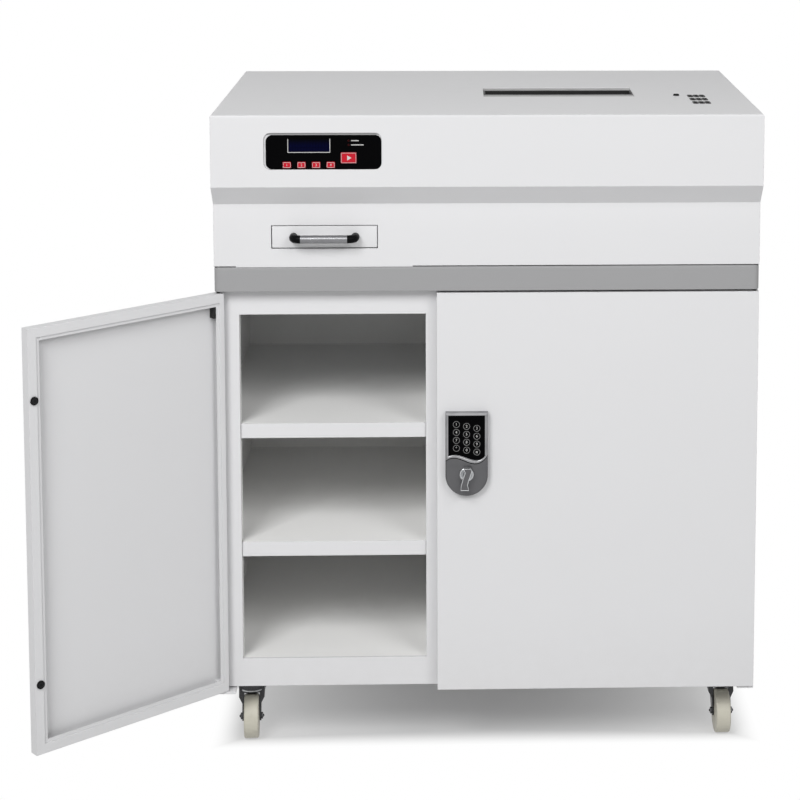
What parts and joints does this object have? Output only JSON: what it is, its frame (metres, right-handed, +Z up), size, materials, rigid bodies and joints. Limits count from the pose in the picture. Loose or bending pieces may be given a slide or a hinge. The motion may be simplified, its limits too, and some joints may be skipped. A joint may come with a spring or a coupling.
{
  "type": "high-security media shredder",
  "caption": "Steel cabinet shredder on castors: overhanging head with feed slot, key panel and media drawer, over a shelved cupboard and a bin bay with a keypad lock.",
  "frame": {"origin": "on the floor, under the middle of the cabinet's footprint", "axes": "+X to the right seen from the front, +Y to the back, +Z up"},
  "size_m": [1.0399, 0.6983, 0.9745],
  "materials": {
    "white_paint": "satin powder coat",
    "grey_paint": "satin powder coat",
    "zinc_steel": "zinc plated",
    "cutter_steel": "ground and oiled",
    "bearing_bronze": "turned",
    "black_steel": "black oxide",
    "black_plastic": "fine texture",
    "panel_black": "gloss",
    "panel_grey": "satin",
    "key_red": "satin",
    "display_blue": "gloss",
    "lamp_red": "clear moulded",
    "grip_steel": "brushed",
    "lock_metal": "dark satin",
    "coil_copper": "enamelled winding",
    "motor_grey": "semi gloss",
    "bin_grey": "moulded",
    "wheel_rubber": "smooth",
    "black_rubber": "smooth"
  },
  "bodies": {
    "cabinet": {"base_plate": "white_paint", "base_tray": "white_paint", "left_side_panel": "white_paint", "right_side_panel": "white_paint", "back_panel": "white_paint", "front_frame": "white_paint", "centre_partition": "white_paint", "upper_shelf": "white_paint", "lower_shelf": "white_paint", "waste_bin": "bin_grey", "belt_trim": "grey_paint", "machine_bed": "zinc_steel", "head_cover": "white_paint", "throat_plate": "grey_paint", "fascia_carrier": "panel_grey", "control_fascia": "panel_black", "lcd_module": "display_blue", "status_lenses": "lamp_red", "drawer_sleeve": "zinc_steel", "degauss_coil": "coil_copper", "cutter_side_plates": "zinc_steel", "shaft_bearings": "bearing_bronze", "cutter_tie_bars": "zinc_steel", "stripper_combs": "cutter_steel", "drive_motor": "motor_grey", "power_inlet": "black_plastic", "hinge_brackets": "white_paint", "castor_plates": "zinc_steel"},
    "left_door": {"left_door_panel": "white_paint", "left_door_hinge_pins": "black_steel", "left_door_bumpers": "black_rubber"},
    "right_door": {"right_door_panel": "white_paint", "right_door_hinge_pins": "black_steel", "lock_housing": "lock_metal", "keypad_panel": "panel_black", "lock_rear_case": "black_plastic"},
    "thumb_turn": {"lock_knob": "lock_metal", "lock_cam": "grip_steel"},
    "drawer": {"drawer_front": "white_paint", "drawer_tray": "zinc_steel", "handle_posts": "black_plastic", "handle_grip": "grip_steel"},
    "function_key_1": {"function_key_1": "key_red"},
    "function_key_2": {"function_key_2": "key_red"},
    "function_key_3": {"function_key_3": "key_red"},
    "function_key_4": {"function_key_4": "key_red"},
    "start_key": {"start_key": "key_red"},
    "top_button": {"top_button": "black_plastic"},
    "front_cutter": {"front_cutter_shaft": "cutter_steel", "front_timing_gear": "cutter_steel"},
    "rear_cutter": {"rear_cutter_shaft": "cutter_steel", "rear_timing_gear": "cutter_steel"},
    "front_left_castor": {"front_left_castor_fork": "black_steel"},
    "front_left_wheel": {"front_left_castor_wheel": "wheel_rubber"},
    "front_right_castor": {"front_right_castor_fork": "black_steel"},
    "front_right_wheel": {"front_right_castor_wheel": "wheel_rubber"},
    "rear_left_castor": {"rear_left_castor_fork": "black_steel"},
    "rear_left_wheel": {"rear_left_castor_wheel": "wheel_rubber"},
    "rear_right_castor": {"rear_right_castor_fork": "black_steel"},
    "rear_right_wheel": {"rear_right_castor_wheel": "wheel_rubber"}
  },
  "joints": [
    {"name": "left_door_hinge", "type": "hinge", "parent": "cabinet", "child": "left_door", "pos_m": [-0.395, -0.2375, 0.4], "axis": [0, 0, 1], "range_deg": [-20.8, 139.2]},
    {"name": "right_door_hinge", "type": "hinge", "parent": "cabinet", "child": "right_door", "pos_m": [0.395, -0.2375, 0.4], "axis": [0, 0, 1], "range_deg": [0, 160]},
    {"name": "thumb_turn_spindle", "type": "hinge", "parent": "right_door", "child": "thumb_turn", "pos_m": [-0.0313, -0.245, 0.4344], "axis": [0, 1, 0], "range_deg": [0, 90]},
    {"name": "drawer_slide", "type": "slide", "parent": "cabinet", "child": "drawer", "axis": [0, -1, 0], "range_m": [0, 0.15]},
    {"name": "function_key_1_press", "type": "slide", "parent": "cabinet", "child": "function_key_1", "axis": [0, 1, 0], "range_m": [0, 0.0008], "stiffness_N_per_m": 400},
    {"name": "function_key_2_press", "type": "slide", "parent": "cabinet", "child": "function_key_2", "axis": [0, 1, 0], "range_m": [0, 0.0008], "stiffness_N_per_m": 400},
    {"name": "function_key_3_press", "type": "slide", "parent": "cabinet", "child": "function_key_3", "axis": [0, 1, 0], "range_m": [0, 0.0008], "stiffness_N_per_m": 400},
    {"name": "function_key_4_press", "type": "slide", "parent": "cabinet", "child": "function_key_4", "axis": [0, 1, 0], "range_m": [0, 0.0008], "stiffness_N_per_m": 400},
    {"name": "start_key_press", "type": "slide", "parent": "cabinet", "child": "start_key", "axis": [0, 1, 0], "range_m": [0, 0.0008], "stiffness_N_per_m": 400},
    {"name": "top_button_press", "type": "slide", "parent": "cabinet", "child": "top_button", "axis": [0, 0, -1], "range_m": [0, 0.0015], "stiffness_N_per_m": 400},
    {"name": "rear_cutter_spin", "type": "hinge", "parent": "cabinet", "child": "rear_cutter", "pos_m": [0.112, -0.004, 0.872], "axis": [1, 0, 0], "continuous": true},
    {"name": "front_cutter_spin", "type": "hinge", "parent": "cabinet", "child": "front_cutter", "pos_m": [0.112, -0.054, 0.872], "axis": [1, 0, 0], "continuous": true},
    {"name": "front_left_swivel", "type": "hinge", "parent": "cabinet", "child": "front_left_castor", "pos_m": [-0.36, -0.158, 0.08], "axis": [0, 0, 1], "continuous": true},
    {"name": "front_left_roll", "type": "hinge", "parent": "front_left_castor", "child": "front_left_wheel", "pos_m": [-0.35885, -0.17997, 0.0325], "axis": [0.9986, 0.0523, 0], "continuous": true},
    {"name": "front_right_swivel", "type": "hinge", "parent": "cabinet", "child": "front_right_castor", "pos_m": [0.36, -0.158, 0.08], "axis": [0, 0, 1], "continuous": true},
    {"name": "front_right_roll", "type": "hinge", "parent": "front_right_castor", "child": "front_right_wheel", "pos_m": [0.36038, -0.18, 0.0325], "axis": [0.9998, 0.0175, 0], "continuous": true},
    {"name": "rear_left_swivel", "type": "hinge", "parent": "cabinet", "child": "rear_left_castor", "pos_m": [-0.36, 0.158, 0.08], "axis": [0, 0, 1], "continuous": true},
    {"name": "rear_left_roll", "type": "hinge", "parent": "rear_left_castor", "child": "rear_left_wheel", "pos_m": [-0.3693, 0.17794, 0.0325], "axis": [-0.9063, -0.4226, 0], "continuous": true},
    {"name": "rear_right_swivel", "type": "hinge", "parent": "cabinet", "child": "rear_right_castor", "pos_m": [0.36, 0.158, 0.08], "axis": [0, 0, 1], "continuous": true},
    {"name": "rear_right_roll", "type": "hinge", "parent": "rear_right_castor", "child": "rear_right_wheel", "pos_m": [0.371, 0.17705, 0.0325], "axis": [-0.866, 0.5, 0], "continuous": true}
  ],
  "couplings": [
    {"joint": "front_cutter_spin", "follows": "rear_cutter_spin", "ratio": -1}
  ]
}
